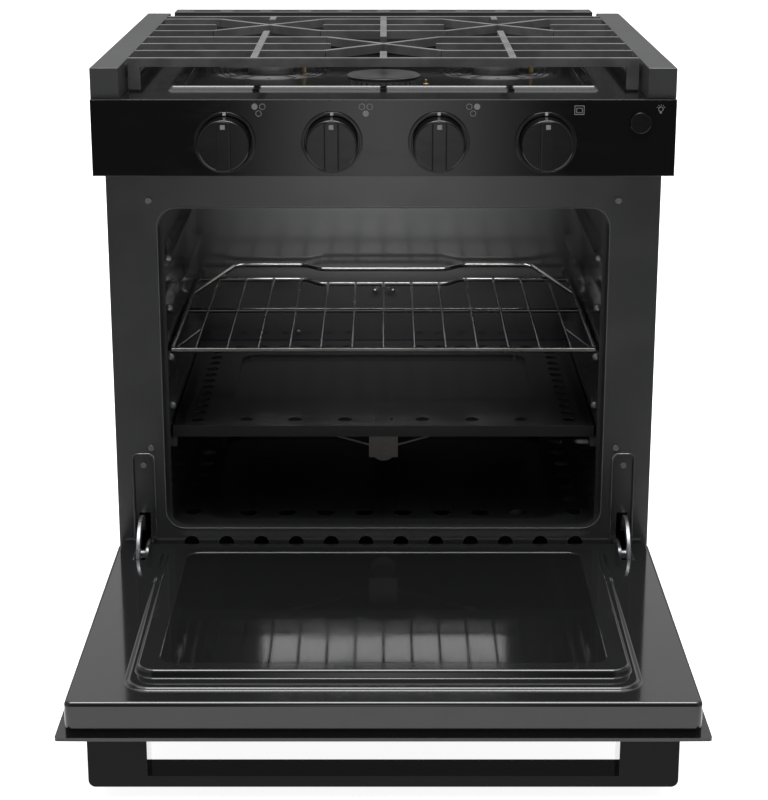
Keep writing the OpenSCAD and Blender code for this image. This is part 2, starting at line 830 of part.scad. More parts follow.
module door_handle() {
    bar_z = [glass_z - handle_reach, glass_z - handle_reach + 10];
    color(gloss_black) from_face() difference() {
        union() {
            wall(post_y[0], post_y[1]) {
                difference() {
                    round_flat([-post_x[1], post_x[1]], [bar_z[0], glass_z + 10], 6);
                    flat([-post_x[0], post_x[0]], [bar_z[1], glass_z + 20]);
                    flat([-half, half], [glass_z, glass_z + 20]);
                }
            }
        }
        both_sides() for (y = handle_screw_y) rod_z(handle_screw_x, y, [glass_z - 20, glass_z + 1], 2.5);
    }
}

module handle_screws() {
    z = glass_z + glass_t;
    color(zinc) from_face() both_sides() for (y = handle_screw_y) {
        rod_z(handle_screw_x, y, [glass_z - 20, z + eps], 2.5);
        rod_z(handle_screw_x, y, [z, z + 3], 5);
    }
}

base_pan();
side_panel_left();
side_panel_right();
back_panel();
front_frame();
kick_panel();
oven_side_left();
oven_side_right();
oven_top();
oven_back();
oven_floor();
heat_spreader();
oven_burner();
flame_shield();
oven_pilot();
thermostat_bulb();
insulation_wrap();
cooktop();
side_trim_left();
side_trim_right();
vent_riser();
control_panel();
knob_bezels();
burner_head_front();
burner_heads_rear();
burner_cap_front();
burner_caps_rear();
igniters();
gas_manifold();
gas_valves();
pressure_regulator();
supply_tubes();
hinge_brackets();
hinge_pins();
frame_screws();
door_glass();
door_liner();
door_window();
door_channels();
door_insulation();
door_handle();
handle_screws();
hinge_arms();
window_clips();
oven_rack();
cooking_grate();
grate_feet();
knob_1();
knob_2();
knob_3();
knob_4();
valve_stem_1();
valve_stem_2();
valve_stem_3();
valve_stem_4();
valve_plunger_1();
valve_plunger_2();
valve_plunger_3();
valve_plunger_4();
light_button();
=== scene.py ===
# %% [markdown]
# This scene dresses a small gas range with an open oven. The frame holds every
# part at its true size and place, and it can't be changed from here. So the work
# is of two kinds: parts whose shape is right get a finish and softened edges, and
# pressed, turned or wire parts are made again with the detail they need.

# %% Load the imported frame
import math

import bmesh
import bpy
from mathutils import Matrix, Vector


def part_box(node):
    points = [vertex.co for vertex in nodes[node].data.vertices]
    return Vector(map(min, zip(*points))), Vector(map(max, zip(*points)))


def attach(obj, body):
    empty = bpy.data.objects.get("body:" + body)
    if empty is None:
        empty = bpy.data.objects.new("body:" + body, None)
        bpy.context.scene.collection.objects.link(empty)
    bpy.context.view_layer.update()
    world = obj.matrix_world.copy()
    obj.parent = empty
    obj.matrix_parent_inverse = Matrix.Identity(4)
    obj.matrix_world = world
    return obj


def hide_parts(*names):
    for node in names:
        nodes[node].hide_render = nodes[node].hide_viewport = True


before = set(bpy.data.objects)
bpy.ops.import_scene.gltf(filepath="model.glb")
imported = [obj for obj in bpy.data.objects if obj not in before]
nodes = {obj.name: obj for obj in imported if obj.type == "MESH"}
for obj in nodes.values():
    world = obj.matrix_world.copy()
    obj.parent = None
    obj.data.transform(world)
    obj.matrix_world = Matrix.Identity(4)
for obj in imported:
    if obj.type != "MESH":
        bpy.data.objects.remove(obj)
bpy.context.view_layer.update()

scene = bpy.context.scene
MM = 0.001
print("parts in the frame:", len(nodes))

# %% [markdown]
# A shader is a sum: a base tone, plus some dirt, less some polish. Nodes can be
# wired by hand for it, but a long chain of Math nodes hides the sum. This class
# holds one output socket and adds the Math node whenever Python meets + or *, so
# that the sum reads as it is written, with a number on either side.

# %% A socket that can stand in a sum
class Wire:
    """One output socket of a shader, usable in arithmetic."""

    def __init__(self, finish, socket):
        self.finish = finish
        self.socket = socket

    def math(self, operation, *values):
        return self.finish.add("ShaderNodeMath", {"operation": operation}, dict(enumerate(values)))

    def __add__(self, other):
        return self.math("ADD", self, other)

    __radd__ = __add__

    def __sub__(self, other):
        return self.math("SUBTRACT", self, other)

    def __rsub__(self, other):
        return self.math("SUBTRACT", other, self)

    def __mul__(self, other):
        return self.math("MULTIPLY", self, other)

    __rmul__ = __mul__

    def __abs__(self):
        return self.math("ABSOLUTE", self)


print("operators ready:", "+ - * abs")

# %% [markdown]
# Every other node goes in by one method. Settings come first, because a node's
# sockets can change with them: a Mix node shows colour sockets only once its data
# type says so. The few helpers below it are the ones that enamel, iron and steel
# all need: noise in the object's own space, a soft threshold, a colour mix, a
# bump, and a mask of the worn edges.

# %% A finish under construction
# A few sockets share a name with others on their node, so they go by number.
MIX_FACTOR, MIX_FIRST, MIX_SECOND, MIX_RESULT = 0, 6, 7, 2
OBJECT_PLACE = 3        # of Texture Coordinate
SHADED_NORMAL = 1       # of Geometry
DOT_VALUE = 1           # of Vector Math
FLAKE_COLOUR = 1        # of Voronoi Texture


class Finish:
    """A material and the method that adds nodes to it."""

    def __init__(self, name):
        self.material = bpy.data.materials.new(name)
        self.material.use_nodes = True
        self.tree = self.material.node_tree
        self.shader = self.tree.nodes["Principled BSDF"]

    def add(self, kind, settings, sockets, out=0):
        made = self.tree.nodes.new(kind)
        for key, value in settings.items():
            setattr(made, key, value)
        self.plug(made, sockets)
        return Wire(self, made.outputs[out])

    def plug(self, node, sockets):
        for key, value in sockets.items():
            if isinstance(value, Wire):
                self.tree.links.new(value.socket, node.inputs[key])
            else:
                node.inputs[key].default_value = value

    def place(self):
        return self.add("ShaderNodeTexCoord", {}, {}, out=OBJECT_PLACE)

    def stretched(self, scale):
        return self.add("ShaderNodeMapping", {}, {"Vector": self.place(), "Scale": scale})

    def noise(self, scale, detail=3.0, rough=0.55, where=None):
        where = where or self.place()
        return self.add("ShaderNodeTexNoise", {},
                        {"Vector": where, "Scale": scale, "Detail": detail, "Roughness": rough})

    def flakes(self, scale):
        """Crystals side by side, each of its own colour."""
        return self.add("ShaderNodeTexVoronoi", {}, {"Vector": self.place(), "Scale": scale},
                        out=FLAKE_COLOUR)

    def ramp(self, value, low, high, start=0.0, end=1.0):
        return self.add("ShaderNodeMapRange", {"interpolation_type": "SMOOTHSTEP"},
                        {"Value": value, "From Min": low, "From Max": high,
                         "To Min": start, "To Max": end})

    def mix(self, factor, first, second):
        return self.add("ShaderNodeMix", {"data_type": "RGBA"},
                        {MIX_FACTOR: factor, MIX_FIRST: first, MIX_SECOND: second}, out=MIX_RESULT)

    def edges(self, radius):
        """1 on an edge that handling has rubbed, 0 on the flats."""
        round_normal = self.add("ShaderNodeBevel", {"samples": 4}, {"Radius": radius})
        normal = self.add("ShaderNodeNewGeometry", {}, {}, out=SHADED_NORMAL)
        facing = self.add("ShaderNodeVectorMath", {"operation": "DOT_PRODUCT"},
                          {0: round_normal, 1: normal}, out=DOT_VALUE)
        return self.ramp(facing, 0.97, 0.8)

    def bump(self, height, distance, strength=1.0):
        return self.add("ShaderNodeBump", {},
                        {"Height": height, "Distance": distance, "Strength": strength})

    def done(self, **sockets):
        """Sets the shader's sockets; an underscore stands for the space in a name."""
        self.plug(self.shader, {key.replace("_", " "): value for key, value in sockets.items()})
        print("finish", self.material.name, "nodes", len(self.tree.nodes))
        return self.material


def tone(value, tint=(1.0, 1.0, 1.0)):
    """A grey of that linear value, slightly tinted, as a colour with alpha."""
    return (value * tint[0], value * tint[1], value * tint[2], 1.0)


print("a middle tone:", tone(0.18))

# %% [markdown]
# Porcelain enamel is glass fired onto sheet steel. Up close it isn't flat: the
# glass flows into a fine orange peel, holds tiny lighter specks, and thins on the
# edges so that a paler line shows there. A plain glossy colour would look like
# paint. So each enamel takes noise into its tone, its roughness and its bump.

# %% Enamels
COOL = (0.97, 0.99, 1.03)
NEUTRAL = (1.0, 1.0, 1.0)
CLOUD, SMEAR, PEEL, SPECK = 7.0, 22.0, 420.0, 2600.0    # noise scales: how many to a metre
ENAMEL_EDGE = 0.0012                                    # how wide the thin enamel on an edge is


def enamel(name, value, roughness, peel=0.00002, specks=0.0, edge=1.6, tint=COOL, ior=1.5):
    f = Finish(name)
    cloud = f.ramp(f.noise(CLOUD, 2.0), 0.3, 0.7)
    fleck = f.ramp(f.noise(SPECK, 1.0), 0.66, 0.72) * specks
    grime = f.ramp(f.noise(SMEAR, 6.0, 0.65), 0.42, 0.72)
    body = f.mix(cloud, tone(value * 0.94, tint), tone(value * 1.06, tint))
    body = f.mix(fleck, body, tone(min(value * 6 + 0.1, 0.7), tint))
    body = f.mix(f.edges(ENAMEL_EDGE) * 0.6, body, tone(value * edge + 0.004, tint))
    return f.done(Base_Color=body, Roughness=grime * 0.03 + roughness,
                  Normal=f.bump(f.noise(PEEL, 2.0), peel), IOR=ior)


finishes = {
    "frame_enamel": enamel("frame_enamel", 0.024, 0.17, specks=0.15, ior=1.85),
    # The next enamel is the frame's, about three times lighter: a painted highlight for the bead round the
    # oven's opening.
    "rim_enamel": enamel("rim_enamel", 0.085, 0.30, edge=1.2),
    "side_enamel": enamel("side_enamel", 0.020, 0.34, peel=0.00003),
    "oven_enamel": enamel("oven_enamel", 0.022, 0.13, specks=0.08, peel=0.00001, ior=1.8),
    "cooktop_enamel": enamel("cooktop_enamel", 0.005, 0.10, edge=5.0, peel=0.00001),
    "trim_enamel": enamel("trim_enamel", 0.024, 0.36, edge=1.8),
    "plate_enamel": enamel("plate_enamel", 0.015, 0.16, specks=0.05),
    "door_enamel": enamel("door_enamel", 0.008, 0.07, edge=5.0, specks=0.1, peel=0.000006),
    "cap_enamel": enamel("cap_enamel", 0.014, 0.30, peel=0.00004, edge=2.5),
}
print("enamels:", len(finishes))

# %% [markdown]
# The panel, the door's outside, the handle and the knobs are a deep gloss black.
# What tells such a surface from a black hole is what lies on it: a little dust,
# the faint haze that wiping leaves, and hairline scratches. They only raise the
# roughness by a few hundredths, so the reflections stay and break up slightly.

# %% Gloss blacks and the dark glass
ALONG_Z = (1.0, 1.0, 3.5)       # wiping marks are wide and low
HAIRLINE = (0.6, 14.0, 14.0)    # scratches run across, and are fine
RUBBED_EDGE = 0.0006


def gloss(name, value, roughness, haze=0.06, peel=0.000004, alpha=1.0, tint=NEUTRAL, shine=0.5):
    f = Finish(name)
    wiped = f.ramp(f.noise(14.0, 5.0, 0.7, f.stretched(ALONG_Z)), 0.45, 0.75)
    dust = f.ramp(f.noise(1500.0, 1.0), 0.68, 0.75)
    scratched = f.ramp(f.noise(60.0, 2.0, 0.5, f.stretched(HAIRLINE)), 0.70, 0.74)
    body = f.mix(dust * 0.35, tone(value, tint), tone(0.05))
    body = f.mix(f.edges(RUBBED_EDGE) * 0.5, body, tone(0.03))
    return f.done(Base_Color=body, Roughness=wiped * haze + scratched * 0.05 + roughness,
                  Normal=f.bump(f.noise(300.0, 2.0), peel), IOR=1.5, Alpha=alpha,
                  Specular_IOR_Level=shine)


finishes["panel_gloss"] = gloss("panel_gloss", 0.003, 0.05)
finishes["door_gloss"] = gloss("door_gloss", 0.003, 0.04, haze=0.04)
finishes["handle_gloss"] = gloss("handle_gloss", 0.002, 0.10, shine=0.10)
finishes["knob_gloss"] = gloss("knob_gloss", 0.004, 0.13, peel=0.000006, shine=0.42)
finishes["window_glass"] = gloss("window_glass", 0.006, 0.05, alpha=0.86, tint=COOL)

# %% [markdown]
# Cast iron keeps the grain of its sand mould under its black coat, and the coat
# wears through on the top edges, where pans slide. The grain has two sizes, a
# pebbled one of about a millimetre and a fine sandy one, and the bump adds both.

# %% Cast iron
iron = Finish("grate_iron")
pebbles = iron.noise(700.0, 3.0)
sand = iron.noise(2400.0, 2.0)
rubbed = iron.edges(0.002) * iron.ramp(iron.noise(60.0, 3.0), 0.35, 0.7)
coat = iron.mix(iron.ramp(iron.noise(35.0, 4.0), 0.35, 0.65), tone(0.055), tone(0.085))
finishes["grate_iron"] = iron.done(
    Base_Color=iron.mix(rubbed * 0.7, coat, tone(0.12)),
    Roughness=0.46 + pebbles * 0.16 - rubbed * 0.1,
    Normal=iron.bump(pebbles + sand * 0.6, 0.00012, 0.8), IOR=1.5)

# %% [markdown]
# The bare metals differ in how they were made. Chrome wire is drawn and plated,
# so it has fine lines along its length and a tan where the heat has reached it.
# Zinc and galvanised sheet freeze into spangles, each of its own brightness.
# Cast aluminium is grainy, brass tarnishes, and burner steel goes blue and brown.

# %% Bare metals
HEAT_STAIN = (0.3, 0.22, 0.16)
WARM_CHROME, BURNT_STEEL, BRASS = (1.0, 0.98, 0.95), (1.0, 0.93, 0.86), (1.0, 0.74, 0.36)


def metal(name, value, tint, roughness, grain=900.0, depth=0.00002, dirty=0.3):
    f = Finish(name)
    grains = f.noise(grain, 3.0)
    stained = f.ramp(f.noise(28.0, 5.0, 0.6), 0.5, 0.75) * dirty
    bright = f.mix(f.ramp(grains, 0.35, 0.65), tone(value * 0.82, tint), tone(value, tint))
    return f.done(Base_Color=f.mix(stained, bright, tone(value * 0.8, HEAT_STAIN)), Metallic=1.0,
                  Roughness=grains * 0.12 + stained * 0.3 + roughness,
                  Normal=f.bump(grains, depth))


def spangled(name, value, roughness, size):
    f = Finish(name)
    glint = f.add("ShaderNodeRGBToBW", {}, {0: f.flakes(size)})
    dull = f.ramp(f.noise(size * 5, 2.0), 0.4, 0.7)
    bright = f.mix(glint, tone(value * 0.7, COOL), tone(value, COOL))
    return f.done(Base_Color=f.mix(dull * 0.3, bright, tone(value * 0.5, COOL)), Metallic=0.9,
                  Roughness=glint * 0.22 + roughness, Normal=f.bump(glint, 0.00001))


finishes["rack_chrome"] = metal("rack_chrome", 0.22, WARM_CHROME, 0.16, 1600.0, 0.00001, dirty=0.25)
finishes["burner_steel"] = metal("burner_steel", 0.25, BURNT_STEEL, 0.34, dirty=0.6)
finishes["burner_aluminium"] = metal("burner_aluminium", 0.42, NEUTRAL, 0.42, 1300.0, 0.00005)
finishes["brass_fittings"] = metal("brass_fittings", 0.62, BRASS, 0.26, dirty=0.35)
finishes["black_screws"] = metal("black_screws", 0.20, NEUTRAL, 0.26, dirty=0.1)
finishes["zinc_steel"] = spangled("zinc_steel", 0.32, 0.26, 500.0)
finishes["galvanised"] = spangled("galvanised", 0.50, 0.30, 70.0)

# %% [markdown]
# Two soft materials are left. Glass wool is a mat of fine fibres, so its noise is
# stretched in two directions and crossed, and the bump is deep. The grate's feet
# are rubber, which is dull and faintly pitted.

# %% Glass wool and rubber
wool = Finish("glass_wool")
along = wool.noise(90.0, 6.0, 0.7, wool.stretched((1.0, 9.0, 6.0)))
across = wool.noise(90.0, 6.0, 0.7, wool.stretched((9.0, 1.0, 5.0)))
fibres = (along + across) * 0.5
finishes["glass_wool"] = wool.done(
    Base_Color=wool.mix(wool.ramp(fibres, 0.35, 0.65),
                        tone(0.36, (1.0, 0.86, 0.52)), tone(0.66, (1.0, 0.9, 0.62))),
    Roughness=0.9, Normal=wool.bump(fibres, 0.0022, 0.9))

rubber = Finish("foot_rubber")
pits = rubber.noise(1800.0, 2.0)
finishes["foot_rubber"] = rubber.done(
    Base_Color=rubber.mix(rubber.ramp(pits, 0.4, 0.7), tone(0.012), tone(0.028)),
    Roughness=0.72 + pits * 0.1, Normal=rubber.bump(pits, 0.00006))

# %% [markdown]
# The printed marks are thin inks on the panel, a grey one for the burner marks and
# a white one for the pointers. Ink is matt and a little uneven, which keeps it from
# looking like a light.

# %% Ink for the printed marks
def ink(name, value):
    f = Finish(name)
    screen_print = f.noise(2000.0, 2.0)
    return f.done(Base_Color=f.mix(f.ramp(screen_print, 0.3, 0.7), tone(value * 0.8), tone(value)),
                  Roughness=0.5 + screen_print * 0.1, Normal=f.bump(screen_print, 0.00001))


grey_ink = ink("grey_ink", 0.20)
white_ink = ink("white_ink", 0.60)

# %% [markdown]
# Parts from the frame arrive as triangles with knife edges. Real sheet is bent
# over a radius and castings are never sharp, and it is the thin highlight on such
# an edge that makes metal look like metal. The mesh itself has to stay as it is,
# so modifiers do the work: Weld joins the split corners, a planar Decimate makes
# each flat one face again, Bevel rolls the edges, and Weighted Normal keeps the
# flats beside a roll truly flat in the light.

# %% Dress the parts that keep their own shape
SPLIT = 0.01 * MM                       # corners this close are one corner
FLAT, BEND = math.radians(0.8), math.radians(32)
THIN_ROLL, WIDE_ROLL = 0.25, 0.8        # millimetres
ROLL = {
    "front_frame": 0.9, "side_trim_left": 2.2, "side_trim_right": 2.2, "vent_riser": 1.6,
    "control_panel": 1.2, "cooking_grate": 1.3, "door_handle": 2.2, "door_glass": 1.0,
    "burner_cap_front": 1.1, "burner_caps_rear": 1.1, "knob_bezels": 0.5, "light_button": 0.5,
    "kick_panel": 0.8, "door_insulation": 4.0, "insulation_wrap": 2.0, "hinge_arms": 0.5,
    "oven_side_left": 1.6, "oven_side_right": 1.6, "heat_spreader": 0.5, "oven_floor": 0.6,
    "flame_shield": 0.4, "pressure_regulator": 0.8, "side_panel_left": 0.8, "side_panel_right": 0.8,
}
DARKER = {"heat_spreader": "plate_enamel", "oven_floor": "plate_enamel"}


def dress(name):
    part = nodes[name]
    width = ROLL.get(name, THIN_ROLL)
    for slot in part.material_slots:
        slot.material = finishes[DARKER.get(name, slot.material.name.split(".")[0])]
    part.data.polygons.foreach_set("use_smooth", [True] * len(part.data.polygons))
    weld = part.modifiers.new("join", "WELD")
    weld.merge_threshold = SPLIT
    flats = part.modifiers.new("whole_flats", "DECIMATE")
    flats.decimate_type = "DISSOLVE"
    flats.angle_limit = FLAT
    roll = part.modifiers.new("roll", "BEVEL")
    roll.width = width * MM
    roll.segments = 3 if width > WIDE_ROLL else 2
    roll.limit_method = "ANGLE"
    roll.angle_limit = BEND
    weight = part.modifiers.new("flat_normals", "WEIGHTED_NORMAL")
    weight.keep_sharp = False
    weight.weight = 100


for name in sorted(nodes):
    dress(name)
print("dressed", len(nodes), "parts")

# %% [markdown]
# New pieces start as lists of points and faces. One helper turns them into an
# object, smooths what is nearly flat, gives it a finish and fastens it to the body
# it moves with. Sharp edges are marked by angle, so a turned part keeps its crisp
# steps and still looks round.

# %% Make a piece
def piece(name, mesh, finish, body, slot, *stands_for, sharp=38):
    made = bpy.data.objects.new(name, mesh)
    scene.collection.objects.link(made)
    mesh.polygons.foreach_set("use_smooth", [True] * len(mesh.polygons))
    mesh.set_sharp_from_angle(angle=math.radians(sharp))
    mesh.materials.append(finish)
    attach(made, body)
    if stands_for:
        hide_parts(*stands_for)
    even = made.modifiers.new("flat_normals", "WEIGHTED_NORMAL")
    even.keep_sharp = True
    even.weight = 90
    print("piece", name, "faces", len(mesh.polygons))
    return made


def mesh_of(name, work):
    """Closes a bmesh into a mesh, with its faces turned outward."""
    bmesh.ops.remove_doubles(work, verts=work.verts, dist=0.00002)
    bmesh.ops.recalc_face_normals(work, faces=work.faces)
    mesh = bpy.data.meshes.new(name)
    work.to_mesh(mesh)
    work.free()
    return mesh


def middle(name):
    low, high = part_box(name)
    return (low + high) / 2


print("front burner stands at", [round(v, 4) for v in middle("burner_cap_front")])

# %% [markdown]
# Pressed sheet is a stack of outlines: each bend adds a few closed loops of the
# same rounded rectangle, a little smaller and a little lower. If all loops have
# the same number of points, the skin between them is only quads, and a highlight
# runs round it evenly.

# %% Outlines and the skin between them
def outline(x0, x1, y0, y1, radius, z, steps=7):
    """A rounded rectangle as a closed loop of points, in metres."""
    corners = [(x1 - radius, y1 - radius, 0), (x0 + radius, y1 - radius, 90),
               (x0 + radius, y0 + radius, 180), (x1 - radius, y0 + radius, 270)]
    loop = []
    for cx, cy, start in corners:
        for k in range(steps + 1):
            a = math.radians(start + 90 * k / steps)
            loop.append((cx + radius * math.cos(a), cy + radius * math.sin(a), z))
    return loop


def circle(cx, cy, radius, z, steps=72):
    turns = [2 * math.pi * k / steps for k in range(steps)]
    return [(cx + radius * math.cos(a), cy + radius * math.sin(a), z) for a in turns]


def skin(work, loops):
    """Quads from each loop to the next; returns the first and last rings of vertices."""
    rings = [[work.verts.new(p) for p in loop] for loop in loops]
    for a, b in zip(rings, rings[1:]):
        for k in range(len(a)):
            n = (k + 1) % len(a)
            work.faces.new((a[k], a[n], b[n], b[k]))
    return rings[0], rings[-1]


def capped(work, ends):
    """Closes both ends of a skin."""
    for ring in ends:
        work.faces.new(ring)


def fill(work, *rings):
    """A flat between rings: the first is the outside, and the rest are holes in it."""
    edges = []
    for ring in rings:
        for k in range(len(ring)):
            a, b = ring[k], ring[(k + 1) % len(ring)]
            edges.append(work.edges.get((a, b)) or work.edges.new((a, b)))
    bmesh.ops.triangle_fill(work, edges=edges, use_beauty=True, use_dissolve=True)


SMALLEST_CORNER = 0.4 * MM


def pressed(box, radius, z, path):
    """Loops that follow path, a list of (outward offset, height) in millimetres."""
    x0, x1, y0, y1 = box
    loops = []
    for out, up in path:
        d = out * MM
        corner = max(radius + d, SMALLEST_CORNER)
        loops.append(outline(x0 - d, x1 + d, y0 - d, y1 + d, corner, z + up * MM))
    return loops


print("an outline has", len(outline(0, 1, 0, 1, 0.1, 0)), "points")

# %% [markdown]
# The cooktop is one pressing: a flat deck, two long beads that stiffen its front,
# a deep well with rolled walls, and three rings round each burner that stop a
# spill from spreading. A displaced grid could carry all that, but it would need
# very small squares for the crisp rings. Lofting each feature and filling the
# flats between them gives clean curves where the light catches.

# %% The cooktop
def thicken(made, thickness):
    """Gives a pressed skin its sheet's thickness, on the inner side."""
    sheet = made.modifiers.new("thickness", "SOLIDIFY")
    sheet.thickness = thickness
    sheet.offset = -1


low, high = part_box("cooktop")
deck = high.z - 2.4 * MM
cap = middle("burner_cap_front")
rear_low, rear_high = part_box("burner_caps_rear")
rear_x, rear_y = rear_high.x - 0.031, (rear_low.y + rear_high.y) / 2
well_floor = low.z + 1.5 * MM
well = (-0.203, 0.203, low.y + 0.0905, high.y - 0.045)
RINGS, RING_HALF, RING_RISE = (60.8, 53.8, 46.8), 1.9, 1.15     # millimetres


def ring_height(radius):
    """How far the well rises at that distance from a burner, in millimetres."""
    return sum(RING_RISE * (0.5 + 0.5 * math.cos(math.pi * (radius - ring) / RING_HALF))
               for ring in RINGS if abs(radius - ring) < RING_HALF)


work = bmesh.new()
deck_edge = pressed((low.x, high.x, low.y, high.y), 0.0006, deck,
                    [(0, -1.5), (0, -0.9), (-0.3, -0.3), (-0.9, 0)])
_, deck_rim = skin(work, deck_edge)
drop = (well_floor - deck) / MM
well_path = [(3.4, 0), (2.2, -0.2), (1.1, -0.8), (0.3, -1.9), (0, -3.4),
             (-0.3, drop + 5.0), (-0.8, drop + 2.8), (-1.9, drop + 1.2), (-3.4, drop + 0.3), (-5.2, drop)]
well_rim, floor_rim = skin(work, pressed(well, 0.024, deck, well_path))

bead_rims = []
for y in (low.y + 0.0565, low.y + 0.0785):
    bead = pressed((-0.199, 0.199, y - 0.0001, y + 0.0001), 0.0001, deck,
                   [(3.4, 0), (2.8, 0.2), (2.1, 0.75), (1.4, 1.4), (0.8, 1.75), (0.3, 1.85)])
    rim, top = skin(work, bead)
    work.faces.new(top)
    bead_rims.append(rim)
fill(work, deck_rim, well_rim, *bead_rims)

ring_rims = []
for x, y in ((cap.x, cap.y), (-rear_x, rear_y), (rear_x, rear_y)):
    loops = []
    for k in range(75):
        r = 65.0 - 0.35 * k
        loops.append(circle(x, y, r * MM, well_floor + ring_height(r) * MM))
    loops += [circle(x, y, r * MM, well_floor) for r in (32, 24, 14)]
    rim, _ = skin(work, loops)
    ring_rims.append(rim)
fill(work, floor_rim, *ring_rims)
cooktop = piece("cooktop_pressing", mesh_of("cooktop_pressing", work), finishes["cooktop_enamel"],
                "range_body", "cooktop_enamel", "cooktop", sharp=50)
thicken(cooktop, 1.2 * MM)

# %% [markdown]
# The door's inner liner is pressed in two steps, and the window shows through its
# raised middle. The steps give the bright frames inside the open door, so their
# radii matter more than anything else there. The arms of the hinge pass through
# two slots at the back edge, which are cut from the finished sheet with a Boolean.

# %% The door liner
low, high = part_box("door_liner")
lip = high.z - 9.5 * MM
shell = (low.x, high.x, low.y, high.y)
step_one = (-0.213, 0.213, low.y + 0.023, high.y - 0.013)
step_two = (-0.2065, 0.2065, low.y + 0.042, high.y - 0.037)
window = (-0.187, 0.187, low.y + 0.059, high.y - 0.05)

work = bmesh.new()
wall_path = [(0, -27), (0, -3.6), (-0.3, -2.1), (-1.1, -0.9), (-2.2, -0.2), (-3.6, 0)]
_, lip_rim = skin(work, pressed(shell, 0.006, lip, wall_path))
one, one_top = skin(work, pressed(step_one, 0.020, lip, [
    (2.4, 0), (1.3, 0.15), (0.4, 0.7), (-0.1, 1.4), (-0.8, 2.1), (-1.9, 2.45), (-3.2, 2.5)]))
fill(work, lip_rim, one)
two, two_top = skin(work, pressed(step_two, 0.017, lip, [
    (1.6, 2.5), (0.7, 2.75), (0.1, 3.6), (-0.1, 6.6), (-0.6, 8.2), (-1.6, 9.2), (-3.0, 9.5)]))
fill(work, one_top, two)
pane, _ = skin(work, pressed(window, 0.012, lip, [
    (2.6, 9.5), (1.2, 9.4), (0.4, 9.1), (0.05, 8.7), (0, 8.4)]))
fill(work, two_top, pane)
liner_mesh = mesh_of("door_liner_pressing", work)

# %% Cut the slots for the hinge arms
def box_mesh(name, lows, highs):
    work = bmesh.new()
    ring = [(lows[0], lows[1]), (highs[0], lows[1]), (highs[0], highs[1]), (lows[0], highs[1])]
    capped(work, skin(work, [[(x, y, z) for x, y in ring] for z in (lows[2], highs[2])]))
    return mesh_of(name, work)


def applied(made):
    """The object's mesh with its modifiers worked in."""
    bpy.context.view_layer.update()
    depsgraph = bpy.context.evaluated_depsgraph_get()
    solid = bpy.data.meshes.new_from_object(made.evaluated_get(depsgraph))
    bpy.data.objects.remove(made)
    return solid


def loose(name, mesh):
    """An object that isn't a piece: a tool to cut with, or the floor."""
    made = bpy.data.objects.new(name, mesh)
    scene.collection.objects.link(made)
    return made


SLOT_NEAR, SLOT_FAR = 0.228, 0.241      # from the door's middle
pressing = loose("liner_pressing", liner_mesh)
thicken(pressing, 0.9 * MM)
cutters = []
for side in (-1, 1):
    left, right = sorted((side * SLOT_NEAR, side * SLOT_FAR))
    cutter = loose("slot_cutter", box_mesh("slot_cutter", (left, high.y - 0.047, low.z + 0.001),
                                           (right, high.y + 0.003, high.z + 0.001)))
    cut = pressing.modifiers.new("slot", "BOOLEAN")
    cut.object = cutter
    cutters.append(cutter)
liner_mesh = applied(pressing)
for cutter in cutters:
    bpy.data.objects.remove(cutter)
piece("door_liner_skin", liner_mesh, finishes["door_enamel"], "door", "door_enamel",
      "door_liner", sharp=42)

# %% [markdown]
# The rack is bent and welded from wire. A curve with a round bevel would do, but
# its corners pinch where two straight runs meet, so the path is filleted first and
# then swept by hand with a frame that doesn't twist. Small balls of weld close the
# ends, as they do on the real one.

# %% Sweep a wire
def filleted(points, radius, steps=6):
    """The same path with each corner replaced by an arc."""
    pts = [Vector(p) for p in points]
    path = [pts[0]]
    for before, corner, after in zip(pts, pts[1:], pts[2:]):
        into, out = (before - corner).normalized(), (after - corner).normalized()
        half = into.angle(out) / 2
        room = min((before - corner).length, (after - corner).length) * 0.45
        reach = min(radius / math.tan(half), room)
        start, end = corner + into * reach, corner + out * reach
        for k in range(steps + 1):
            t = k / steps
            path.append(start * (1 - t) ** 2 + corner * 2 * t * (1 - t) + end * t ** 2)
    return path + [pts[-1]]


DOME = [(0.35, 0.94), (0.75, 0.66), (0.95, 0.3)]    # how far out, and how wide, in radii


def sweep(work, path, radius, sides=12):
    """A round wire along path with domed ends."""
    path = [Vector(p) for p in path]
    tangent = (path[1] - path[0]).normalized()
    side = tangent.orthogonal().normalized()
    loops = []
    for k, point in enumerate(path):
        ahead = (path[min(k + 1, len(path) - 1)] - path[max(k - 1, 0)]).normalized()
        side = (side - ahead * side.dot(ahead)).normalized()
        up = ahead.cross(side)
        ring = [point + (side * math.cos(a) + up * math.sin(a)) * radius
                for a in (2 * math.pi * n / sides for n in range(sides))]
        loops.append((ring, point, ahead))
    first, start, ahead = loops[0]
    opening = [[start + (p - start) * wide - ahead * radius * out for p in first]
               for out, wide in reversed(DOME)]
    last, end, ahead = loops[-1]
    closing = [[end + (p - end) * wide + ahead * radius * out for p in last] for out, wide in DOME]
    capped(work, skin(work, opening + [ring for ring, _, _ in loops] + closing))


print("a filleted corner has", len(filleted([(0, 0, 0), (1, 0, 0), (1, 1, 0)], 0.1)), "points")

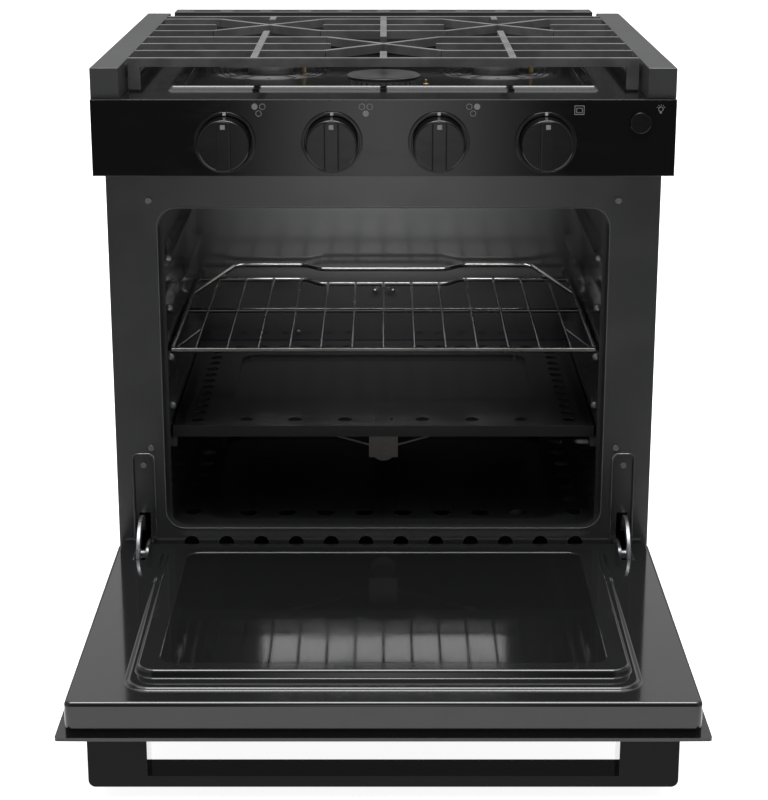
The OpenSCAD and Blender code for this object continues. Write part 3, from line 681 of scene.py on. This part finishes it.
# %% The oven rack
low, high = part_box("oven_rack")
thick, rung = 2.5 * MM, 1.5 * MM         # half the wires' thickness
PITCH = 0.0303                          # from one rung to the next
JOG = 0.021                             # how far the middle of the rear wires comes forward
wire_z = low.z + thick
edge_x = high.x - thick
front_y, back_y = low.y + thick, high.y - thick
stop_y = back_y - 0.020
work = bmesh.new()
for side in (-1, 1):
    sweep(work, [(side * edge_x, front_y, wire_z), (side * edge_x, back_y, wire_z)], thick)
    brace_z = wire_z + 0.4 * MM
    sweep(work, [(side * (edge_x - 0.004), front_y + 0.004, brace_z),
                 (side * 6 * PITCH, front_y + 0.078, brace_z)], 1.3 * MM, 8)
for y in (front_y, front_y + 0.155):
    sweep(work, [(-edge_x, y, wire_z), (edge_x, y, wire_z)], thick)
rest_path = [(-edge_x, stop_y), (-0.085, stop_y), (-0.070, stop_y - JOG), (0.070, stop_y - JOG),
             (0.085, stop_y), (edge_x, stop_y)]
sweep(work, filleted([(x, y, wire_z) for x, y in rest_path], 0.012), thick)
stop_z = high.z - thick
stop_path = [(-edge_x, back_y - 0.085, wire_z), (-0.164, back_y, stop_z), (-0.088, back_y, stop_z),
             (-0.068, back_y - JOG, stop_z), (0.068, back_y - JOG, stop_z), (0.088, back_y, stop_z),
             (0.164, back_y, stop_z), (edge_x, back_y - 0.085, wire_z)]
sweep(work, filleted(stop_path, 0.014), thick)
rung_z = wire_z + 1.2 * MM
for k in range(-6, 7):
    end_y = stop_y - JOG if abs(k) < 3 else stop_y
    sweep(work, [(k * PITCH, front_y - 0.4 * MM, rung_z), (k * PITCH, end_y + 3.5 * MM, rung_z)],
          rung, 10)
piece("rack_wires", mesh_of("rack_wires", work), finishes["rack_chrome"], "rack", "rack_chrome", "oven_rack")

# %% [markdown]
# A knob is moulded: a deep round skirt, slightly tapered so that it leaves the
# mould, and a grip bar across its face. The skirt is turned from a profile, since
# every section of it is a circle. The bar is a stack of outlines that lean in by a
# degree and roll over at the top.

# %% Turn a profile
def turned(work, centre, profile, steps=96):
    """Rings about the Y axis: each (radius, depth toward the front) in millimetres."""
    loops = []
    for radius, depth in profile:
        turns = [2 * math.pi * k / steps for k in range(steps)]
        loops.append([(centre.x + radius * MM * math.cos(a), centre.y - depth * MM,
                       centre.z + radius * MM * math.sin(a)) for a in turns])
    return skin(work, loops)


def grip_outline(half_width, top, bottom, corner, steps=6):
    """The bar's outline in the knob's face, in millimetres."""
    points = []
    for cx, cz, start in ((half_width - corner, top - corner, 0), (corner - half_width, top - corner, 90)):
        for k in range(steps + 1):
            a = math.radians(start + 90 * k / steps)
            points.append((cx + corner * math.cos(a), cz + corner * math.sin(a)))
    for k in range(steps + 1):
        x = -half_width + 2 * half_width * k / steps
        points.append((x, -math.sqrt(max(bottom ** 2 - x ** 2, 0))))
    return points


print("grip outline points:", len(grip_outline(6.8, 22.5, 23.2, 2.5)))

# %% The four knobs
SKIRT = [(0.1, 3.0), (4.2, 3.0), (4.2, 0.2), (22.6, 0.2), (23.6, 0), (24.0, 0.5), (24.0, 2.2),
         (23.6, 3.0), (23.5, 17.4), (23.2, 18.4), (22.8, 18.8), (22.2, 19.0), (21.8, 19.0), (0.1, 19.0)]
BAR = [(0, 18.6), (0, 19.6), (-0.1, 22.2), (-0.3, 22.7), (-0.7, 22.95), (-1.1, 23.0), (-1.5, 23.0)]
for k in range(1, 5):
    low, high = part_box(f"knob_{k}")
    centre = Vector(((low.x + high.x) / 2, high.y, (low.z + high.z) / 2))
    work = bmesh.new()
    capped(work, turned(work, centre, SKIRT))
    loops = []
    for lean, depth in BAR:
        points = grip_outline(6.85 + lean, 22.4 + lean, 22.9 + lean, max(3.0 + lean, 0.5))
        loops.append([(centre.x + x * MM, centre.y - depth * MM, centre.z + z * MM) for x, z in points])
    capped(work, skin(work, loops))
    piece(f"knob_{k}_moulding", mesh_of(f"knob_{k}_moulding", work), finishes["knob_gloss"],
          f"dial_{k}", "knob_gloss", f"knob_{k}", sharp=34)

# %% [markdown]
# The marks on the panel say which burner a knob serves: three small circles in the
# layout of the burners, with the right one filled. An oven and a lamp stand over
# the oven's knob and the light's button. Each mark is a film of ink with a real
# thickness, so that it survives in any other program.

# %% Marks on the control panel
INK = 0.08 * MM             # thickness of a film
LINE = 0.5 * MM             # width of a drawn line


def film(work, points, y, thick=INK):
    """A flat of ink on a face that looks toward -Y; points are (x, z) in metres."""
    capped(work, skin(work, [[(x, y, z) for x, z in points], [(x, y - thick, z) for x, z in points]]))


def on_circle(cx, cz, r, turn):
    """The point of a circle at that part of a full turn."""
    return cx + r * math.cos(2 * math.pi * turn), cz + r * math.sin(2 * math.pi * turn)


def disc_points(cx, cz, r, steps=28):
    return [on_circle(cx, cz, r, k / steps) for k in range(steps)]


def rim_mark(work, cx, cz, r, y, steps=24):
    """A ring of ink, made of short films round the circle."""
    for k in range(steps):
        a, b = k / steps, (k + 1) / steps
        film(work, [on_circle(cx, cz, r, a), on_circle(cx, cz, r, b),
                    on_circle(cx, cz, r - LINE, b), on_circle(cx, cz, r - LINE, a)], y)


def bar_points(x0, x1, z0, z1):
    return [(x0, z0), (x1, z0), (x1, z1), (x0, z1)]


panel_low, panel_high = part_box("control_panel")
face_y = panel_low.y
mark_z = panel_high.z - 0.0094
work = bmesh.new()
DOT = 2.8 * MM
BURNERS = [(-3.55, 3.1), (3.55, 3.1), (0, -3.1)]        # two at the rear, one in front
for k, filled in ((1, 0), (2, 2), (3, 1)):
    mark_x = middle(f"knob_{k}").x + 0.031
    for n, (across, up) in enumerate(BURNERS):
        x, z = mark_x + across * MM, mark_z + up * MM
        if n == filled:
            film(work, disc_points(x, z, DOT), face_y)
        else:
            rim_mark(work, x, z, DOT, face_y)
print("burner marks:", len(work.faces), "faces")

# %% The oven and lamp marks
OVEN_BARS = [(-4.5, 4.5, 3.6, 4.2), (-4.5, 4.5, -4.2, -3.6),            # the case
             (-4.5, -3.9, -3.6, 3.6), (3.9, 4.5, -3.6, 3.6),
             (-2.8, 2.8, 1.5, 2.0), (-2.8, 2.8, -2.6, -2.1),            # the window
             (-2.8, -2.3, -2.1, 1.5), (2.3, 2.8, -2.1, 1.5)]


def ray_points(x, z, angle, near=3.2 * MM, far=4.3 * MM, half=0.25 * MM):
    """A short bar that points away from the middle of the bulb."""
    across, up = math.cos(angle), math.sin(angle)
    return [(x + across * d - up * w, z + up * d + across * w)
            for d, w in ((near, half), (far, half), (far, -half), (near, -half))]


x, z = middle("knob_4").x + 0.030, mark_z
for x0, x1, z0, z1 in OVEN_BARS:
    film(work, bar_points(x + x0 * MM, x + x1 * MM, z + z0 * MM, z + z1 * MM), face_y)
x, bulb_z = middle("light_button").x + 0.018, mark_z + 0.8 * MM
rim_mark(work, x, bulb_z, 2.3 * MM, face_y)
film(work, bar_points(x - 0.9 * MM, x + 0.9 * MM, z - 3.0 * MM, z - 1.8 * MM), face_y)
for degrees in range(30, 151, 30):
    film(work, ray_points(x, bulb_z, math.radians(degrees)), face_y)
piece("panel_marks", mesh_of("panel_marks", work), grey_ink, "range_body", "panel_gloss")

bezel_low, bezel_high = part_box("knob_bezels")
work = bmesh.new()
for k in range(1, 5):
    x = middle(f"knob_{k}").x
    tick = bar_points(x - 1.4 * MM, x + 1.4 * MM, bezel_high.z - 3.1 * MM, bezel_high.z - 0.4 * MM)
    film(work, tick, bezel_low.y)
piece("bezel_marks", mesh_of("bezel_marks", work), white_ink, "range_body", "knob_gloss")

# %% [markdown]
# Small features finish the pressings. A bead runs round the oven's opening and
# round the two pads that hold the door's arms, where the press has folded the
# sheet. The rack's ledges end in round noses, and three rivet heads stand on the
# oven's back wall. They are tiny, and each catches a point or a line of light.
# The bead round the opening is also coloured lighter than the frame: a painted
# highlight line.

# %% Beads round the opening and the pads
def bead(work, loop, radius, sides=10):
    """A half-sunk round bead on a face that looks toward -Y, along a closed loop of (x, z, y)."""
    rings = []
    for k, (x, z, y) in enumerate(loop):
        ahead = Vector(loop[(k + 1) % len(loop)][:2]) - Vector(loop[k - 1][:2])
        across = Vector((-ahead.y, ahead.x)).normalized()
        turns = [2 * math.pi * n / sides for n in range(sides)]
        rings.append([work.verts.new((x + across.x * radius * math.cos(a), y + radius * math.sin(a),
                                      z + across.y * radius * math.cos(a))) for a in turns])
    for k, ring in enumerate(rings):
        after = rings[(k + 1) % len(rings)]
        for n in range(sides):
            m = (n + 1) % sides
            work.faces.new((ring[n], ring[m], after[m], after[n]))


OPENING_HALF, OPENING_CORNER = 0.2130, 0.018
frame_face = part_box("front_frame")[0].y
opening_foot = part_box("oven_floor")[1].z + 1.6 * MM
opening_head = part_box("oven_top")[0].z - 1.0 * MM
work = bmesh.new()
opening = outline(-OPENING_HALF, OPENING_HALF, opening_foot, opening_head, OPENING_CORNER, frame_face)
bead(work, opening, 0.45 * MM)
# The bead takes a lighter copy of the frame's enamel, so its line round the opening is a painted highlight.
piece("opening_bead", mesh_of("opening_bead", work), finishes["rim_enamel"], "range_body", "frame_enamel")

PAD_HEAD = 0.182
arm_low, arm_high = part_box("hinge_arms")
pad_foot = arm_low.z + 0.012
work = bmesh.new()
for side in (-1, 1):
    x0, x1 = sorted((side * (arm_high.x - 0.0155), side * (arm_high.x + 0.006)))
    corners = [(x0, pad_foot), (x0, PAD_HEAD), (x1, PAD_HEAD), (x1, pad_foot)]
    sweep(work, filleted([(x, frame_face, z) for x, z in corners], 0.006), 1.0 * MM, 10)
piece("pad_beads", mesh_of("pad_beads", work), finishes["frame_enamel"], "range_body", "frame_enamel")

# %% Noses of the ledges and rivets of the back wall
NOSE = [(3.2, -0.4), (3.2, 0.5), (2.9, 1.1), (2.2, 1.6), (1.2, 1.9), (0.1, 2.0)]
LEDGE_X, LEDGE_STEP = 0.2052, 0.0487
ledge_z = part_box("oven_rack")[0].z - 3.6 * MM       # the ledge that the rack lies on
work = bmesh.new()
for k in range(-1, 3):
    for side in (-1, 1):
        tip = Vector((side * LEDGE_X, frame_face + 0.016, ledge_z + k * LEDGE_STEP))
        capped(work, turned(work, tip, NOSE, 24))
piece("ledge_noses", mesh_of("ledge_noses", work), finishes["zinc_steel"], "range_body", "zinc_steel")

RIVET = [(2.6, -0.3), (2.6, 0.9), (2.3, 1.8), (1.6, 2.5), (0.8, 2.8), (0.1, 2.9)]
RIVET_PLACES = [(-0.0099, 0.2615), (0.0105, 0.2615), (-0.096, 0.2135)]
oven_low, oven_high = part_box("oven_back")
work = bmesh.new()
for x, z in RIVET_PLACES:
    capped(work, turned(work, Vector((x, oven_low.y, z)), RIVET, 24))
piece("back_rivets", mesh_of("back_rivets", work), finishes["black_screws"], "range_body", "black_screws")

# %% [markdown]
# A small square at the end of each grip shows where the knob points. It is a film
# too, laid on the bar's front face. It turns and is pushed in with its own knob,
# so each knob has a mark of its own instead of one piece with four squares.

# %% The mark on each knob
MARK_HALF, MARK_UP = 2.1 * MM, 17.8 * MM
for k in range(1, 5):
    low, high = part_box(f"knob_{k}")
    x, z = (low.x + high.x) / 2, (low.z + high.z) / 2 + MARK_UP
    work = bmesh.new()
    square = bar_points(x - MARK_HALF, x + MARK_HALF, z - MARK_HALF, z + MARK_HALF)
    film(work, square, low.y, 0.06 * MM)
    piece(f"knob_{k}_mark", mesh_of(f"knob_{k}_mark", work), grey_ink, f"dial_{k}", "knob_gloss")

# %% [markdown]
# The floor is a plain pale sheet, far larger than the view, so that no edge of it
# shows. It gives off a little light of its own, like a lit cove, and so stays pale
# under the door. Polished black metal shows whatever stands round it, and the light
# that matters there is the studio's, so the floor doesn't enter the reflections.

# %% The floor
floor_finish = Finish("studio_floor")
paper = floor_finish.noise(160.0, 3.0)
floor_material = floor_finish.done(
    Base_Color=floor_finish.mix(floor_finish.ramp(paper, 0.3, 0.7), tone(0.52), tone(0.56)),
    Roughness=0.7 + paper * 0.1, Normal=floor_finish.bump(paper, 0.0001),
    Emission_Color=(1.0, 1.0, 1.0, 1.0), Emission_Strength=0.9)
FLOOR_HALF = 40
FLOOR_TOP = -0.2 * MM       # just clear of the feet
work = bmesh.new()
capped(work, skin(work, [outline(-FLOOR_HALF, FLOOR_HALF, -FLOOR_HALF, FLOOR_HALF, 2.0, z)
                         for z in (-0.02, FLOOR_TOP)]))
floor = loose("studio_floor", mesh_of("studio_floor", work))
floor.data.materials.append(floor_material)
floor.visible_glossy = False
floor.visible_diffuse = False
floor.visible_shadow = False

# %% [markdown]
# Gloss black needs a dark room with a few soft lights in it, or it turns grey all
# over. So the world is dim, with a bright ceiling like a large softbox, a card on
# each side, a strip behind, and one soft patch in front, low down, which the
# upright panel reflects in its middle. The camera itself sees a pale backdrop.

# %% The studio
class Studio(Finish):
    """The world's own node tree, with the same way to add nodes."""

    def __init__(self, world):
        world.use_nodes = True
        self.tree = world.node_tree
        self.tree.nodes.clear()


WHITE = (1.0, 1.0, 1.0, 1.0)
CEILING, FLOOR_BOUNCE = 3.4, 1.9
PATCH, STRIP, CARD, DIM = 1.3, 0.75, 0.42, 0.06
world = bpy.data.worlds.new("studio")
scene.world = world
studio = Studio(world)
direction = studio.add("ShaderNodeTexCoord", {}, {})
dx, dy, dz = (studio.add("ShaderNodeSeparateXYZ", {}, {0: direction}, out=k) for k in range(3))
overhead = studio.ramp(dz, 0.70, 0.95, 0.0, CEILING)
low_middle = studio.ramp(dz, -0.36, -0.16) * studio.ramp(dz, 0.5, 0.1)
patch = studio.ramp(dy, -0.6, -0.9) * studio.ramp(abs(dx), 0.095, 0.0) * low_middle * PATCH
behind = studio.ramp(dy, 0.3, 0.8) * studio.ramp(dz, 0.16, 0.36) * STRIP
bounce = studio.ramp(dz, -0.35, -0.43, 0.0, FLOOR_BOUNCE)
card_height = studio.ramp(dz, -0.7, 0.1) * studio.ramp(dz, 0.8, 0.5)
cards = studio.ramp(abs(dx), 0.22, 0.6) * card_height * CARD
light = overhead + cards + patch + behind + bounce + DIM
lit = studio.add("ShaderNodeBackground", {}, {"Color": WHITE, "Strength": light})
backdrop = studio.add("ShaderNodeBackground", {}, {"Color": WHITE, "Strength": 1.0})
seen = studio.add("ShaderNodeLightPath", {}, {})
both = studio.add("ShaderNodeMixShader", {}, {0: seen, 1: lit, 2: backdrop})
sky = studio.tree.nodes.new("ShaderNodeOutputWorld")
studio.tree.links.new(both.socket, sky.inputs["Surface"])

# %% [markdown]
# Two lamps help the world. A large softbox hangs over the range and draws the
# highlights on the grate and the door. A small lamp sits under the oven's top and
# lights the upper part of its back wall, which fades to dark lower down.

# %% The lamps
def area_lamp(name, width, depth, energy, place, tilt):
    lamp = bpy.data.lights.new(name, "AREA")
    lamp.shape = "RECTANGLE"
    lamp.size, lamp.size_y, lamp.energy = width, depth, energy
    stand = bpy.data.objects.new(name, lamp)
    stand.location = place
    stand.rotation_euler = (math.radians(tilt), 0.0, 0.0)
    scene.collection.objects.link(stand)
    print("lamp", name, [round(v, 3) for v in place])


area_lamp("softbox", 1.5, 1.0, 70, (0.0, -0.5, 2.7), -8)
area_lamp("oven_glow", 0.30, 0.05, 0.9, (0.0, oven_low.y - 0.09, oven_high.z - 0.012), 50)
scene.view_settings.view_transform = "Standard"

# %% [markdown]
# The camera looks slightly down from a little over two metres, with a long lens,
# which keeps the range's sides nearly parallel.

# %% The camera
EYE = (0.00055, -2.0893, 0.79606)
LOOK_DOWN = 16.695          # degrees below the horizon
LENS, SENSOR = 90.84, 36.0  # millimetres
lens = bpy.data.cameras.new("camera")
lens.sensor_fit = "AUTO"
lens.sensor_width = SENSOR
lens.lens = LENS
camera = bpy.data.objects.new("camera", lens)
camera.location = EYE
camera.rotation_euler = (math.radians(90 - LOOK_DOWN), 0.0, 0.0)
scene.collection.objects.link(camera)
scene.camera = camera
print("camera stands at", [round(v, 3) for v in camera.location])
